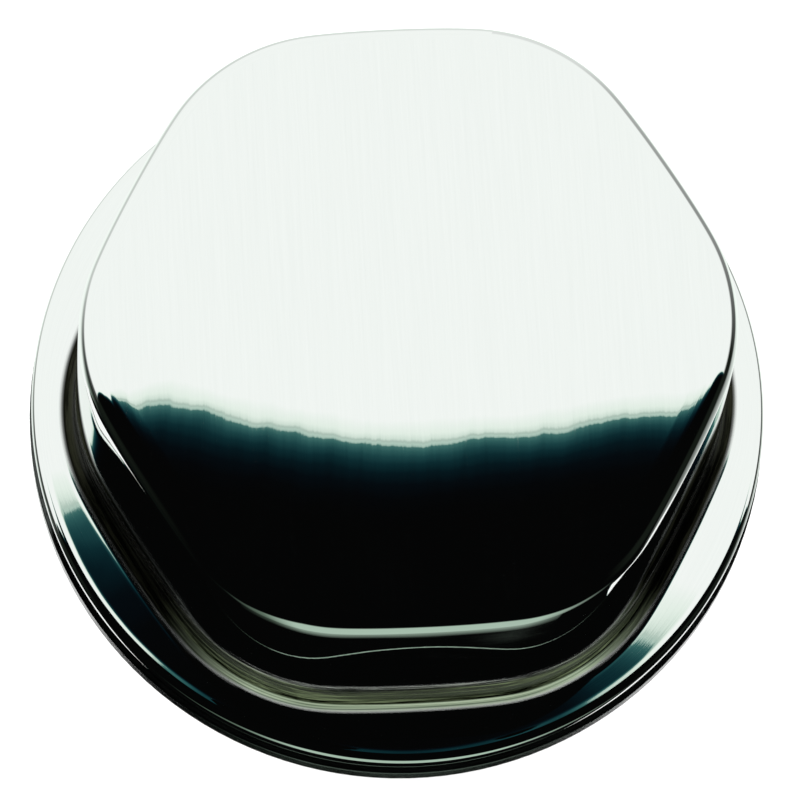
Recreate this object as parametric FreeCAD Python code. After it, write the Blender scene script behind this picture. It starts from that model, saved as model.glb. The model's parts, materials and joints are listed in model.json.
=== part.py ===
import FreeCAD, Part
import math
import os

# Deck fill cap: a polished stainless hand cap with a six-sided crown, screwed into its deck flange.
# Millimetres, +Z up.  The origin is on the filler axis, in the plane of the deck that the flange sits on.

# ---- driving dimensions: cap ----
BRIM_R = 44.4            # round brim, widest radius, a little inside the deck flange
CROWN_FLAT_R = 36.3      # crown, axis to the middle of a flat, at the top
CROWN_SIDE_R = 200.0     # the flats bulge: radius of each side in plan
CROWN_CORNER_R = 22.0    # radius of each corner in plan
CROWN_SIDES = 6
CROWN_DRAFT = 0.9        # the crown is this much wider at its foot, each side
CROWN_TOP_Z = 45.2       # middle of the top face
CROWN_DOME_R = 500.0     # the top face is very slightly domed
TOP_EDGE_R = 3.0         # rounding between the top face and the walls
FOOT_R = 2.0             # hollow fillet between the walls and the brim
SHELL_WALL = 2.2
BRIM_TOP_Z = 9.5
BRIM_EDGE_R = 1.4        # rounding of the brim's upper edge
BRIM_UNDER_Z = 4.8
BRIM_LOWER_EDGE_R = 0.4

# ---- driving dimensions: deck flange ----
GASKET_T = 1.0
FLANGE_R = 44.7
FLANGE_TOP_Z = 4.2
FLANGE_EDGE_R = 0.8
NECK_R = 29.0
NECK_LEDGE_Z = -19.0
NECK_STEP_Z = -26.5
NECK_BOTTOM_Z = -35.5
NECK_BORE_R = 17.0
SEAT_CONE_AT_DECK_R = 26.35   # the O-ring's 45 degree seat meets the deck plane at this radius
DECK_SCREW_PCD_R = 35.0
DECK_SCREW_COUNT = 4
DECK_SCREW_R = 2.1       # over the thread, below the deck plane
DECK_SCREW_NECK_R = 1.9  # plain neck under the head
DECK_SCREW_POINT_H = 3.4
DECK_SCREW_HEAD_R = 4.0
DECK_SCREW_TIP_Z = -21.0
DECK_SCREW_HOLE_GAP = 0.2
DECK_SCREW_SLOT_L = 4.4
DECK_SCREW_SLOT_W = 0.9
DECK_SCREW_SLOT_DEPTH = 1.3
SOCKET_R_SHARE = 0.45    # hexagon socket, axis to flat, as a share of its screw head's radius
SOCKET_DEPTH_SHARE = 0.6
HEAD_CHAMFER_SHARE = 0.12
TIP_CHAMFER_SHARE = 0.25
CUT_OVER = 1.0           # how far a cutting shape stands out past the face that it opens
LUG_H = 4.2              # chain lug on the neck's inner ledge
LUG_T = 2.6
LUG_NEAR_R = 18.5
LUG_FAR_R = 23.7
LUG_HOLE_R = 1.3

# ---- driving dimensions: screw thread between cap and neck ----
CAP_THREAD = {"pitch": 4.0, "depth": 1.6, "crest_w": 1.0, "root_w": 1.9}
MALE_CREST_R = 25.5
FEMALE_ROOT_R = 25.9
MALE_THREAD_LOW_Z = -11.0
MALE_THREAD_TURNS = 2.25
FEMALE_THREAD_LOW_Z = MALE_THREAD_LOW_Z - 1.5 * CAP_THREAD["pitch"]
FEMALE_THREAD_TURNS = 3.5
ROOT_BITE = 0.3          # how far a thread's ridge is rooted in its core

# ---- driving dimensions: threaded plug inside the cap ----
PLUG_FLANGE_R = 33.0
PLUG_FLANGE_LOW_Z = 4.6
PLUG_TOP_Z = 10.6
PLUG_GLAND_R = 25.4
PLUG_GLAND_LOW_Z = 0.4
PLUG_BOTTOM_Z = -12.0
PLUG_LEAD_IN = 1.0
O_RING_WIRE_R = 1.5
PILLAR_CIRCLE_R = 15.0
PILLAR_COUNT = 3
PILLAR_START_DEG = 90.0
PILLAR_R = 4.6
PLUG_SCREW_R = 2.5
PLUG_SCREW_HEAD_R = 4.3
PLUG_SCREW_HEAD_H = 3.6
PLUG_SCREW_TIP_Z = 20.0
PLUG_WASHER_R = 4.7
PLUG_WASHER_T = 1.0
PLUG_SCREW_SEAT_Z = -6.6

# ---- driving dimensions: brim seal ----
SEAL_GROOVE_IN_R = 39.3
SEAL_GROOVE_OUT_R = 42.1
SEAL_GROOVE_TOP_Z = 7.1
SEAL_LIP_SLOPE = 0.6     # rise of each lip over its width

# ---- driving dimensions: swivel for the retaining chain ----
SWIVEL_STEM_R = 2.5
SWIVEL_TOP_Z = 14.0
SWIVEL_CHAMFER = 0.5
BUSH_R = 4.2
BUSH_FLANGE_R = 6.0
BUSH_FLANGE_T = 1.0
BUSH_TOP_Z = -2.0
EYE_SHOULDER_R = 4.6
EYE_SHOULDER_T = 1.8
EYE_CENTRE_Z = -19.6
EYE_R = 4.2
EYE_HOLE_R = 2.2
EYE_T = 2.4
EYE_WEB_R = 3.6
SWIVEL_WASHER_R = 5.2
SWIVEL_WASHER_T = 0.8
CLIP_R = 4.6
CLIP_T = 0.9
CLIP_GROOVE_R = 1.9
CLIP_TAB_W = 1.6
CLIP_RIM = 0.6
RING_R = 6.5
RING_WIRE_R = 0.8

# ---- driving dimensions: hose tail ----
TAIL_R = 19.05           # for 38 mm hose
TAIL_BORE_R = 16.5
TAIL_BOTTOM_Z = -74.0
TAIL_NECK_R = 18.7       # thinner under the collar, where the nut's lip sits
TAIL_COLLAR_R = 22.4
TAIL_COLLAR_T = 3.0
TAIL_GASKET_T = 1.2
TAIL_GROOVE_COUNT = 5
TAIL_GROOVE_DEPTH = 0.6
TAIL_GROOVE_W = 1.6
TAIL_GROOVE_STEP = 5.0
TAIL_LEAD_IN = 1.2
NUT_THREAD = {"pitch": 2.5, "depth": 1.0, "crest_w": 0.6, "root_w": 1.2}
NECK_CREST_R = 24.0
NECK_THREAD_LOW_Z = NECK_BOTTOM_Z + 0.5
NECK_THREAD_TURNS = 2.5
NUT_THREAD_TURNS = 2.0
NUT_ROOT_R = 24.3
NUT_SIDES = 8
NUT_FLAT_R = 28.0
NUT_TOP_Z = -27.3
NUT_LIP_T = 3.0
NUT_CHAMFER = 1.7

# ---- driving dimensions: bonding screw on the neck ----
BOND_Z = -22.0
BOND_FACE_R = 28.3
BOND_SPOT_R = 5.0
BOND_SCREW_R = 2.0
BOND_SCREW_DEPTH = 8.0
BOND_TAP_OVER = 0.5      # the tapped hole is this much deeper than its screw
BOND_HEAD_R = 3.8
BOND_HEAD_H = 2.6
BOND_WASHER_R = 4.4
BOND_WASHER_T = 0.9
STAR_TEETH = 10
STAR_NOTCH_R = 0.6

MATE_GAP = 0.3           # air between parts that move past each other
FIT_GAP = 0.05           # running and location fits, on the radius

Z = FreeCAD.Vector(0, 0, 1)
ORIGIN = FreeCAD.Vector(0, 0, 0)


def vec(x, y, z):
    return FreeCAD.Vector(x, y, z)


def polar(radius, degrees, z):
    """Point at a radius and an angle about the filler axis."""
    angle = math.radians(degrees)
    return vec(radius * math.cos(angle), radius * math.sin(angle), z)


def cylinder(radius, z_low, z_high, centre=ORIGIN):
    return Part.makeCylinder(radius, z_high - z_low, vec(centre.x, centre.y, z_low))


def tube(outer_r, inner_r, z_low, z_high, centre=ORIGIN):
    return cylinder(outer_r, z_low, z_high, centre).cut(cylinder(inner_r, z_low, z_high, centre))


def cone(r_low, r_high, z_low, z_high, centre=ORIGIN):
    return Part.makeCone(r_low, r_high, z_high - z_low, vec(centre.x, centre.y, z_low))


def turned(points):
    """Solid of revolution about Z from a closed list of (radius, z) corners."""
    corners = [vec(r, 0, z) for r, z in points]
    face = Part.Face(Part.makePolygon(corners + corners[:1]))
    return face.revolve(ORIGIN, Z, 360)


def prism(sides, flat_r, z_low, z_high, centre=ORIGIN, turn=0.0):
    """Regular prism, flat_r from its axis to a flat."""
    corner_r = flat_r / math.cos(math.pi / sides)
    corners = []
    for k in range(sides + 1):
        angle = math.radians(turn) + 2 * math.pi * k / sides
        corners.append(centre + vec(corner_r * math.cos(angle), corner_r * math.sin(angle), z_low))
    return Part.Face(Part.makePolygon(corners)).extrude(vec(0, 0, z_high - z_low))


def around(shape, count, start_deg=0.0):
    """The same shape repeated about the filler axis."""
    copies = []
    for k in range(count):
        copy = shape.copy()
        copy.rotate(ORIGIN, Z, start_deg + 360.0 * k / count)
        copies.append(copy)
    return copies


def fuse_all(shapes):
    whole = shapes[0]
    for shape in shapes[1:]:
        whole = whole.fuse(shape)
    return whole.removeSplitter()


def torus(ring_r, wire_r, centre, axis):
    return Part.makeTorus(ring_r, wire_r, centre, axis)


# ---- plan of the crown: a six-sided outline of tangent arcs ----

def crown_outline(inset, z):
    """Closed wire parallel to the crown's outline, drawn in by inset (negative: wider)."""
    side_offset = CROWN_SIDE_R - CROWN_FLAT_R
    half = math.pi / CROWN_SIDES
    corner_gap = CROWN_SIDE_R - CROWN_CORNER_R
    corner_centre_r = (-side_offset * math.cos(half)
                       + math.sqrt(corner_gap ** 2 - (side_offset * math.sin(half)) ** 2))
    side_centres = []
    corner_centres = []
    for k in range(CROWN_SIDES):
        corner_at = math.degrees(2 * half * k)
        side_at = math.degrees(half) + corner_at
        corner_centres.append(polar(corner_centre_r, corner_at, z))
        side_centres.append(polar(-side_offset, side_at, z))
    edges = []
    for k in range(CROWN_SIDES):
        here = corner_centres[k]
        after = corner_centres[(k + 1) % CROWN_SIDES]
        side_before = side_centres[k - 1]
        side_after = side_centres[k]
        corner_r = CROWN_CORNER_R - inset
        side_r = CROWN_SIDE_R - inset
        start = here + (here - side_before).normalize() * corner_r
        middle = here + vec(here.x, here.y, 0).normalize() * corner_r
        end = here + (here - side_after).normalize() * corner_r
        edges.append(Part.Arc(start, middle, end).toShape())
        side_middle = side_after + (vec(-side_after.x, -side_after.y, 0)).normalize() * side_r
        side_end = after + (after - side_after).normalize() * corner_r
        edges.append(Part.Arc(end, side_middle, side_end).toShape())
    return Part.Wire(edges)


def crown_block(inset, z_low, z_high):
    """Solid crown with the walls' draft, its outline drawn in by inset."""
    span = CROWN_TOP_Z - BRIM_TOP_Z
    low_inset = inset - CROWN_DRAFT * (CROWN_TOP_Z - z_low) / span
    high_inset = inset - CROWN_DRAFT * (CROWN_TOP_Z - z_high) / span
    low = crown_outline(low_inset, z_low)
    high = crown_outline(high_inset, z_high)
    return Part.makeLoft([low, high], True, True)


def dome_ball(inset):
    """Ball under the top face's dome, drawn in by inset; its seam is turned clear of the crown."""
    return Part.makeSphere(CROWN_DOME_R - inset, vec(0, 0, CROWN_TOP_Z - CROWN_DOME_R), vec(1, 1, 0))


# ---- screw threads ----

def thread_ridge(thread, root_r, crest_r, z_low, turns):
    """Right-hand helical ridge from root_r to crest_r, its flanks carried a little way into its core."""
    half_crest = thread["crest_w"] / 2
    half_root = thread["root_w"] / 2
    flank = (half_root - half_crest) / abs(crest_r - root_r)
    half_bite = half_root + flank * ROOT_BITE
    bite_r = root_r - math.copysign(ROOT_BITE, crest_r - root_r)
    mid = z_low + half_root
    section = Part.makePolygon([
        vec(bite_r, 0, mid - half_bite),
        vec(crest_r, 0, mid - half_crest),
        vec(crest_r, 0, mid + half_crest),
        vec(bite_r, 0, mid + half_bite),
        vec(bite_r, 0, mid - half_bite)])
    path = Part.makeHelix(thread["pitch"], thread["pitch"] * turns, crest_r)
    path.translate(vec(0, 0, mid))
    return Part.Wire(path).makePipeShell([section], True, True)


# ---- fasteners ----

def rims_at(solid, z):
    """Edges that lie wholly at one height."""
    return [edge for edge in solid.Edges
            if abs(edge.BoundBox.ZMin - z) < 1e-4 and abs(edge.BoundBox.ZMax - z) < 1e-4]


def socket_screw(screw_r, head_r, head_h, z_head, z_tip):
    """Screw on the Z axis pointing up, its head below with a hexagon socket."""
    head = cylinder(head_r, z_head, z_head + head_h)
    head = head.makeChamfer(head_h * HEAD_CHAMFER_SHARE, rims_at(head, z_head))
    shank = cylinder(screw_r, z_head + head_h, z_tip)
    shank = shank.makeChamfer(screw_r * TIP_CHAMFER_SHARE, rims_at(shank, z_tip))
    socket = prism(6, head_r * SOCKET_R_SHARE, z_head, z_head + head_h * SOCKET_DEPTH_SHARE)
    return head.fuse(shank).cut(socket).removeSplitter()


# ---- cap ----

def make_cap_shell():
    """Hollow crown, foot fillet and brim in one casting, with three screw pillars inside."""
    crown = crown_block(0.0, BRIM_TOP_Z - FOOT_R, CROWN_TOP_Z).common(dome_ball(0.0))
    top_edges = [edge for edge in crown.Edges if edge.BoundBox.ZMin > CROWN_TOP_Z - TOP_EDGE_R]
    crown = crown.makeFillet(TOP_EDGE_R, top_edges)
    brim = cylinder(BRIM_R, BRIM_UNDER_Z, BRIM_TOP_Z)
    brim = brim.makeFillet(BRIM_EDGE_R, rims_at(brim, BRIM_TOP_Z))
    brim = brim.makeFillet(BRIM_LOWER_EDGE_R, rims_at(brim, BRIM_UNDER_Z))
    outside = brim.fuse(crown)
    foot = [edge for edge in rims_at(outside, BRIM_TOP_Z) if edge.BoundBox.DiagonalLength < BRIM_R]
    outside = outside.makeFillet(FOOT_R, foot)
    below = BRIM_UNDER_Z - CUT_OVER
    hollow = crown_block(SHELL_WALL, below, CROWN_TOP_Z).common(dome_ball(SHELL_WALL))
    shell = outside.cut(hollow)
    shell = shell.cut(tube(SEAL_GROOVE_OUT_R, SEAL_GROOVE_IN_R, below, SEAL_GROOVE_TOP_Z))
    pillar_at = vec(PILLAR_CIRCLE_R, 0, 0)
    pillar = cylinder(PILLAR_R, PLUG_TOP_Z, CROWN_TOP_Z - SHELL_WALL / 2, pillar_at)
    tapped = cylinder(PLUG_SCREW_R + FIT_GAP, PLUG_TOP_Z, PLUG_SCREW_TIP_Z + CUT_OVER, pillar_at)
    pillar = pillar.cut(tapped)
    return fuse_all([shell] + around(pillar, PILLAR_COUNT, PILLAR_START_DEG))


def make_threaded_plug():
    """Plug that carries the cap's male thread, fixed up under the crown."""
    core_r = MALE_CREST_R - CAP_THREAD["depth"]
    plug = turned([
        (0, PLUG_BOTTOM_Z),
        (core_r - PLUG_LEAD_IN, PLUG_BOTTOM_Z),
        (core_r, PLUG_BOTTOM_Z + PLUG_LEAD_IN),
        (core_r, PLUG_GLAND_LOW_Z),
        (PLUG_GLAND_R, PLUG_GLAND_LOW_Z),
        (PLUG_GLAND_R, PLUG_FLANGE_LOW_Z),
        (PLUG_FLANGE_R, PLUG_FLANGE_LOW_Z),
        (PLUG_FLANGE_R, PLUG_TOP_Z),
        (0, PLUG_TOP_Z)])
    ridge = thread_ridge(CAP_THREAD, core_r, MALE_CREST_R, MALE_THREAD_LOW_Z, MALE_THREAD_TURNS)
    plug = plug.fuse(ridge)
    at = vec(PILLAR_CIRCLE_R, 0, 0)
    screw_way = cylinder(PLUG_SCREW_R + MATE_GAP, PLUG_BOTTOM_Z, PLUG_TOP_Z, at)
    head_way = cylinder(PLUG_WASHER_R + MATE_GAP, PLUG_BOTTOM_Z, PLUG_SCREW_SEAT_Z, at)
    for way in around(screw_way.fuse(head_way), PILLAR_COUNT, PILLAR_START_DEG):
        plug = plug.cut(way)
    plug = plug.cut(cylinder(BUSH_R + FIT_GAP, PLUG_BOTTOM_Z, BUSH_TOP_Z))
    return plug.cut(cylinder(SWIVEL_STEM_R + MATE_GAP, PLUG_BOTTOM_Z, PLUG_TOP_Z))


def make_plug_screws():
    z_head = PLUG_SCREW_SEAT_Z - PLUG_WASHER_T - PLUG_SCREW_HEAD_H
    screw = socket_screw(PLUG_SCREW_R, PLUG_SCREW_HEAD_R, PLUG_SCREW_HEAD_H, z_head, PLUG_SCREW_TIP_Z)
    screw.translate(vec(PILLAR_CIRCLE_R, 0, 0))
    return Part.makeCompound(around(screw, PILLAR_COUNT, PILLAR_START_DEG))


def make_plug_washers():
    at = vec(PILLAR_CIRCLE_R, 0, 0)
    low = PLUG_SCREW_SEAT_Z - PLUG_WASHER_T
    washer = tube(PLUG_WASHER_R, PLUG_SCREW_R + FIT_GAP, low, PLUG_SCREW_SEAT_Z, at)
    return Part.makeCompound(around(washer, PILLAR_COUNT, PILLAR_START_DEG))


def make_plug_o_ring():
    ring_r = PLUG_GLAND_R + O_RING_WIRE_R
    return torus(ring_r, O_RING_WIRE_R, vec(0, 0, PLUG_FLANGE_LOW_Z - O_RING_WIRE_R), Z)


def make_brim_seal():
    """Rubber ring in the brim's groove, with a lip each side of a shallow channel below."""
    low_z = FLANGE_TOP_Z + MATE_GAP
    inner = SEAL_GROOVE_IN_R + FIT_GAP
    outer = SEAL_GROOVE_OUT_R - FIT_GAP
    third = (outer - inner) / 3
    return turned([
        (inner, low_z),
        (inner + third, low_z + third * SEAL_LIP_SLOPE),
        (outer - third, low_z + third * SEAL_LIP_SLOPE),
        (outer, low_z),
        (outer, SEAL_GROOVE_TOP_Z),
        (inner, SEAL_GROOVE_TOP_Z)])


# ---- swivel for the retaining chain ----

def clip_low_z():
    return PLUG_TOP_Z + SWIVEL_WASHER_T + MATE_GAP


def make_swivel_bush():
    flange = tube(BUSH_FLANGE_R, SWIVEL_STEM_R + FIT_GAP, PLUG_BOTTOM_Z - BUSH_FLANGE_T, PLUG_BOTTOM_Z)
    sleeve = tube(BUSH_R, SWIVEL_STEM_R + FIT_GAP, PLUG_BOTTOM_Z, BUSH_TOP_Z)
    return flange.fuse(sleeve).removeSplitter()


def make_swivel_eye():
    """Stem that turns in the bush, with a shoulder and a flat eye below."""
    shoulder_top = PLUG_BOTTOM_Z - BUSH_FLANGE_T - MATE_GAP
    shoulder_low = shoulder_top - EYE_SHOULDER_T
    stem = cylinder(SWIVEL_STEM_R, shoulder_low, SWIVEL_TOP_Z)
    stem = stem.makeChamfer(SWIVEL_CHAMFER, rims_at(stem, SWIVEL_TOP_Z))
    shoulder = cylinder(EYE_SHOULDER_R, shoulder_low, shoulder_top)
    shoulder = shoulder.makeChamfer(SWIVEL_CHAMFER, rims_at(shoulder, shoulder_low))
    disc = Part.makeCylinder(EYE_R, EYE_T, vec(0, -EYE_T / 2, EYE_CENTRE_Z), vec(0, 1, 0))
    web_h = shoulder_low - EYE_CENTRE_Z
    web = Part.makeBox(2 * EYE_WEB_R, EYE_T, web_h, vec(-EYE_WEB_R, -EYE_T / 2, EYE_CENTRE_Z))
    hole = Part.makeCylinder(EYE_HOLE_R, EYE_T, vec(0, -EYE_T / 2, EYE_CENTRE_Z), vec(0, 1, 0))
    groove = tube(CLIP_R, CLIP_GROOVE_R, clip_low_z(), clip_low_z() + CLIP_T)
    return fuse_all([stem, shoulder, disc, web]).cut(hole).cut(groove)


def make_swivel_washer():
    return tube(SWIVEL_WASHER_R, SWIVEL_STEM_R + MATE_GAP, PLUG_TOP_Z, PLUG_TOP_Z + SWIVEL_WASHER_T)


def make_swivel_clip():
    """E-clip: an open ring with three tabs that reach into the stem's groove."""
    low = clip_low_z() + FIT_GAP
    thick = CLIP_T - 2 * FIT_GAP
    ring = tube(CLIP_R, SWIVEL_STEM_R + MATE_GAP, low, low + thick)
    mouth = Part.makeBox(CLIP_R, 2 * CLIP_GROOVE_R, thick, vec(-CLIP_R, -CLIP_GROOVE_R, low))
    tab_l = CLIP_R - CLIP_RIM - CLIP_GROOVE_R - FIT_GAP
    tab = Part.makeBox(tab_l, CLIP_TAB_W, thick, vec(CLIP_GROOVE_R + FIT_GAP, -CLIP_TAB_W / 2, low))
    tabs = []
    for turn in (-90, 0, 90):
        turned_tab = tab.copy()
        turned_tab.rotate(ORIGIN, Z, turn)
        tabs.append(turned_tab)
    return fuse_all([ring.cut(mouth)] + tabs)


def ring_pivot_z():
    """Height of the chain ring's wire where it hangs in the eye."""
    return EYE_CENTRE_Z - EYE_HOLE_R + RING_WIRE_R + MATE_GAP


def make_chain_ring():
    return torus(RING_R, RING_WIRE_R, vec(0, 0, ring_pivot_z() - RING_R), vec(1, 0, 0))


# ---- deck flange, fixed to the boat ----

def deck_screw_holes(z_low, z_high):
    hole = cylinder(DECK_SCREW_R + DECK_SCREW_HOLE_GAP, z_low, z_high, vec(DECK_SCREW_PCD_R, 0, 0))
    return around(hole, DECK_SCREW_COUNT, 180.0 / DECK_SCREW_COUNT)


def make_flange_gasket():
    gasket = tube(FLANGE_R - FLANGE_EDGE_R, NECK_R + MATE_GAP, 0, GASKET_T)
    for hole in deck_screw_holes(0, GASKET_T):
        gasket = gasket.cut(hole)
    return gasket


def make_deck_flange():
    """Flange and threaded neck in one casting; the neck passes through the deck."""
    plate = cylinder(FLANGE_R, GASKET_T, FLANGE_TOP_Z)
    plate = plate.makeFillet(FLANGE_EDGE_R, rims_at(plate, FLANGE_TOP_Z))
    neck = cylinder(NECK_R, NECK_STEP_Z, GASKET_T)
    stub_r = NECK_CREST_R - NUT_THREAD["depth"]
    stub = cylinder(stub_r, NECK_BOTTOM_Z, NECK_STEP_Z)
    stub_ridge = thread_ridge(NUT_THREAD, stub_r, NECK_CREST_R, NECK_THREAD_LOW_Z, NECK_THREAD_TURNS)
    body = fuse_all([plate, neck, stub, stub_ridge])
    seat_foot_z = FEMALE_ROOT_R - SEAT_CONE_AT_DECK_R
    hollow = turned([
        (0, NECK_BOTTOM_Z),
        (NECK_BORE_R, NECK_BOTTOM_Z),
        (NECK_BORE_R, NECK_LEDGE_Z),
        (FEMALE_ROOT_R, NECK_LEDGE_Z),
        (FEMALE_ROOT_R, seat_foot_z),
        (SEAT_CONE_AT_DECK_R + FLANGE_TOP_Z, FLANGE_TOP_Z),
        (0, FLANGE_TOP_Z)])
    body = body.cut(hollow)
    crest_r = FEMALE_ROOT_R - CAP_THREAD["depth"]
    ridge = thread_ridge(CAP_THREAD, FEMALE_ROOT_R, crest_r, FEMALE_THREAD_LOW_Z, FEMALE_THREAD_TURNS)
    body = body.fuse(ridge)
    for hole in deck_screw_holes(GASKET_T, FLANGE_TOP_Z):
        body = body.cut(hole)
    sink = cone(DECK_SCREW_R + FIT_GAP, DECK_SCREW_HEAD_R + FIT_GAP,
                FLANGE_TOP_Z - (DECK_SCREW_HEAD_R - DECK_SCREW_R), FLANGE_TOP_Z, vec(DECK_SCREW_PCD_R, 0, 0))
    for cut in around(sink, DECK_SCREW_COUNT, 180.0 / DECK_SCREW_COUNT):
        body = body.cut(cut)
    spot = Part.makeCylinder(BOND_SPOT_R, NECK_R, vec(-BOND_FACE_R, 0, BOND_Z), vec(-1, 0, 0))
    tapped = Part.makeCylinder(BOND_SCREW_R + FIT_GAP, BOND_SCREW_DEPTH + BOND_TAP_OVER,
                               vec(-BOND_FACE_R, 0, BOND_Z), vec(1, 0, 0))
    return fuse_all([body.cut(spot).cut(tapped), make_chain_lug()])


def make_chain_lug():
    """Small drilled lug on the neck's ledge, the fixed end for a retaining chain."""
    block = Part.makeBox(LUG_FAR_R - LUG_NEAR_R, LUG_T, LUG_H + ROOT_BITE,
                         vec(LUG_NEAR_R, -LUG_T / 2, NECK_LEDGE_Z - ROOT_BITE))
    eye_at = vec((LUG_NEAR_R + LUG_FAR_R) / 2, -LUG_T / 2, NECK_LEDGE_Z + LUG_H / 2)
    lug = block.cut(Part.makeCylinder(LUG_HOLE_R, LUG_T, eye_at, vec(0, 1, 0)))
    lug.rotate(ORIGIN, Z, 90)
    return lug


def make_deck_screws():
    """Countersunk self-tapping screws with a cross recess; the thread starts at the deck plane."""
    head_low = FLANGE_TOP_Z - (DECK_SCREW_HEAD_R - DECK_SCREW_NECK_R)
    head_top = FLANGE_TOP_Z - FIT_GAP
    screw = turned([
        (0, DECK_SCREW_TIP_Z),
        (DECK_SCREW_R, DECK_SCREW_TIP_Z + DECK_SCREW_POINT_H),
        (DECK_SCREW_R, 0),
        (DECK_SCREW_NECK_R, 0),
        (DECK_SCREW_NECK_R, head_low),
        (DECK_SCREW_HEAD_R - FIT_GAP, head_top),
        (0, head_top)])
    long_way = DECK_SCREW_SLOT_L
    short_way = DECK_SCREW_SLOT_W
    for size_x, size_y in ((long_way, short_way), (short_way, long_way)):
        corner = vec(-size_x / 2, -size_y / 2, head_top - DECK_SCREW_SLOT_DEPTH)
        screw = screw.cut(Part.makeBox(size_x, size_y, DECK_SCREW_SLOT_DEPTH, corner))
    screw.translate(vec(DECK_SCREW_PCD_R, 0, 0))
    return Part.makeCompound(around(screw, DECK_SCREW_COUNT, 180.0 / DECK_SCREW_COUNT))


# ---- bonding screw ----

def along_minus_x(shape):
    """Move a fitting made on +Z from the origin to the bonding face, pointing into the neck."""
    shape.rotate(ORIGIN, vec(0, 1, 0), 90)
    shape.translate(vec(-BOND_FACE_R, 0, BOND_Z))
    return shape


def make_bonding_screw():
    head_low = -2 * BOND_WASHER_T - BOND_HEAD_H
    return along_minus_x(socket_screw(BOND_SCREW_R, BOND_HEAD_R, BOND_HEAD_H, head_low, BOND_SCREW_DEPTH))


def make_bonding_washer():
    return along_minus_x(tube(BOND_WASHER_R, BOND_SCREW_R + FIT_GAP, -BOND_WASHER_T, 0))


def make_bonding_star_washer():
    low = -2 * BOND_WASHER_T
    washer = tube(BOND_WASHER_R, BOND_SCREW_R + FIT_GAP, low, -BOND_WASHER_T)
    notch = cylinder(STAR_NOTCH_R, low, -BOND_WASHER_T, vec(BOND_WASHER_R, 0, 0))
    for cut in around(notch, STAR_TEETH):
        washer = washer.cut(cut)
    return along_minus_x(washer)


# ---- hose tail ----

def collar_top_z():
    return NECK_BOTTOM_Z - TAIL_GASKET_T


def nut_low_z():
    return collar_top_z() - TAIL_COLLAR_T - NUT_LIP_T


def make_tail_gasket():
    return tube(TAIL_COLLAR_R, NECK_BORE_R, collar_top_z(), NECK_BOTTOM_Z)


def make_hose_tail():
    """Flanged tube with grip grooves for a hose."""
    collar_low = collar_top_z() - TAIL_COLLAR_T
    neck_low = nut_low_z() - MATE_GAP
    tail = cylinder(TAIL_R, TAIL_BOTTOM_Z, neck_low)
    tail = tail.makeChamfer(TAIL_LEAD_IN, rims_at(tail, TAIL_BOTTOM_Z))
    tail = tail.fuse(cylinder(TAIL_NECK_R, neck_low, collar_low))
    tail = tail.fuse(cylinder(TAIL_COLLAR_R, collar_low, collar_top_z()))
    for k in range(TAIL_GROOVE_COUNT):
        low = TAIL_BOTTOM_Z + TAIL_GROOVE_STEP * (k + 1)
        tail = tail.cut(tube(TAIL_R + CUT_OVER, TAIL_R - TAIL_GROOVE_DEPTH, low, low + TAIL_GROOVE_W))
    return tail.cut(cylinder(TAIL_BORE_R, TAIL_BOTTOM_Z, collar_top_z()))


def make_tail_nut():
    """Coupling nut: draws the tail's collar up against the neck."""
    lip_top = collar_top_z() - TAIL_COLLAR_T
    lip_low = nut_low_z()
    corner_r = NUT_FLAT_R / math.cos(math.pi / NUT_SIDES)
    nut = prism(NUT_SIDES, NUT_FLAT_R, lip_low, NUT_TOP_Z)
    nut = nut.common(turned([
        (0, lip_low),
        (NUT_FLAT_R, lip_low),
        (corner_r, lip_low + NUT_CHAMFER),
        (corner_r, NUT_TOP_Z - NUT_CHAMFER),
        (NUT_FLAT_R, NUT_TOP_Z),
        (0, NUT_TOP_Z)]))
    nut = nut.cut(cylinder(NUT_ROOT_R, lip_top, NUT_TOP_Z))
    nut = nut.cut(cylinder(TAIL_R + MATE_GAP, lip_low, lip_top))
    crest_r = NUT_ROOT_R - NUT_THREAD["depth"]
    ridge_low = NECK_THREAD_LOW_Z + NUT_THREAD["pitch"] / 2
    return nut.fuse(thread_ridge(NUT_THREAD, NUT_ROOT_R, crest_r, ridge_low, NUT_THREAD_TURNS))


PIECES = {
    "cap_shell": make_cap_shell,
    "threaded_plug": make_threaded_plug,
    "plug_screws": make_plug_screws,
    "plug_washers": make_plug_washers,
    "plug_o_ring": make_plug_o_ring,
    "brim_seal": make_brim_seal,
    "swivel_bush": make_swivel_bush,
    "swivel_washer": make_swivel_washer,
    "swivel_eye": make_swivel_eye,
    "swivel_clip": make_swivel_clip,
    "chain_ring": make_chain_ring,
    "flange_gasket": make_flange_gasket,
    "deck_flange": make_deck_flange,
    "deck_screws": make_deck_screws,
    "bonding_screw": make_bonding_screw,
    "bonding_washer": make_bonding_washer,
    "bonding_star_washer": make_bonding_star_washer,
    "tail_gasket": make_tail_gasket,
    "hose_tail": make_hose_tail,
    "tail_nut": make_tail_nut,
}

os.makedirs("parts", exist_ok=True)
for name, make in PIECES.items():
    piece = make()
    piece.exportStep("parts/" + name + ".step")
    print(name, piece.isValid(), len(piece.Solids), round(piece.Volume / 1000, 2), "cm3")
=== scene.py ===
import json
import math

import bpy
import numpy as np
from mathutils import Matrix, Quaternion, Vector


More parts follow.
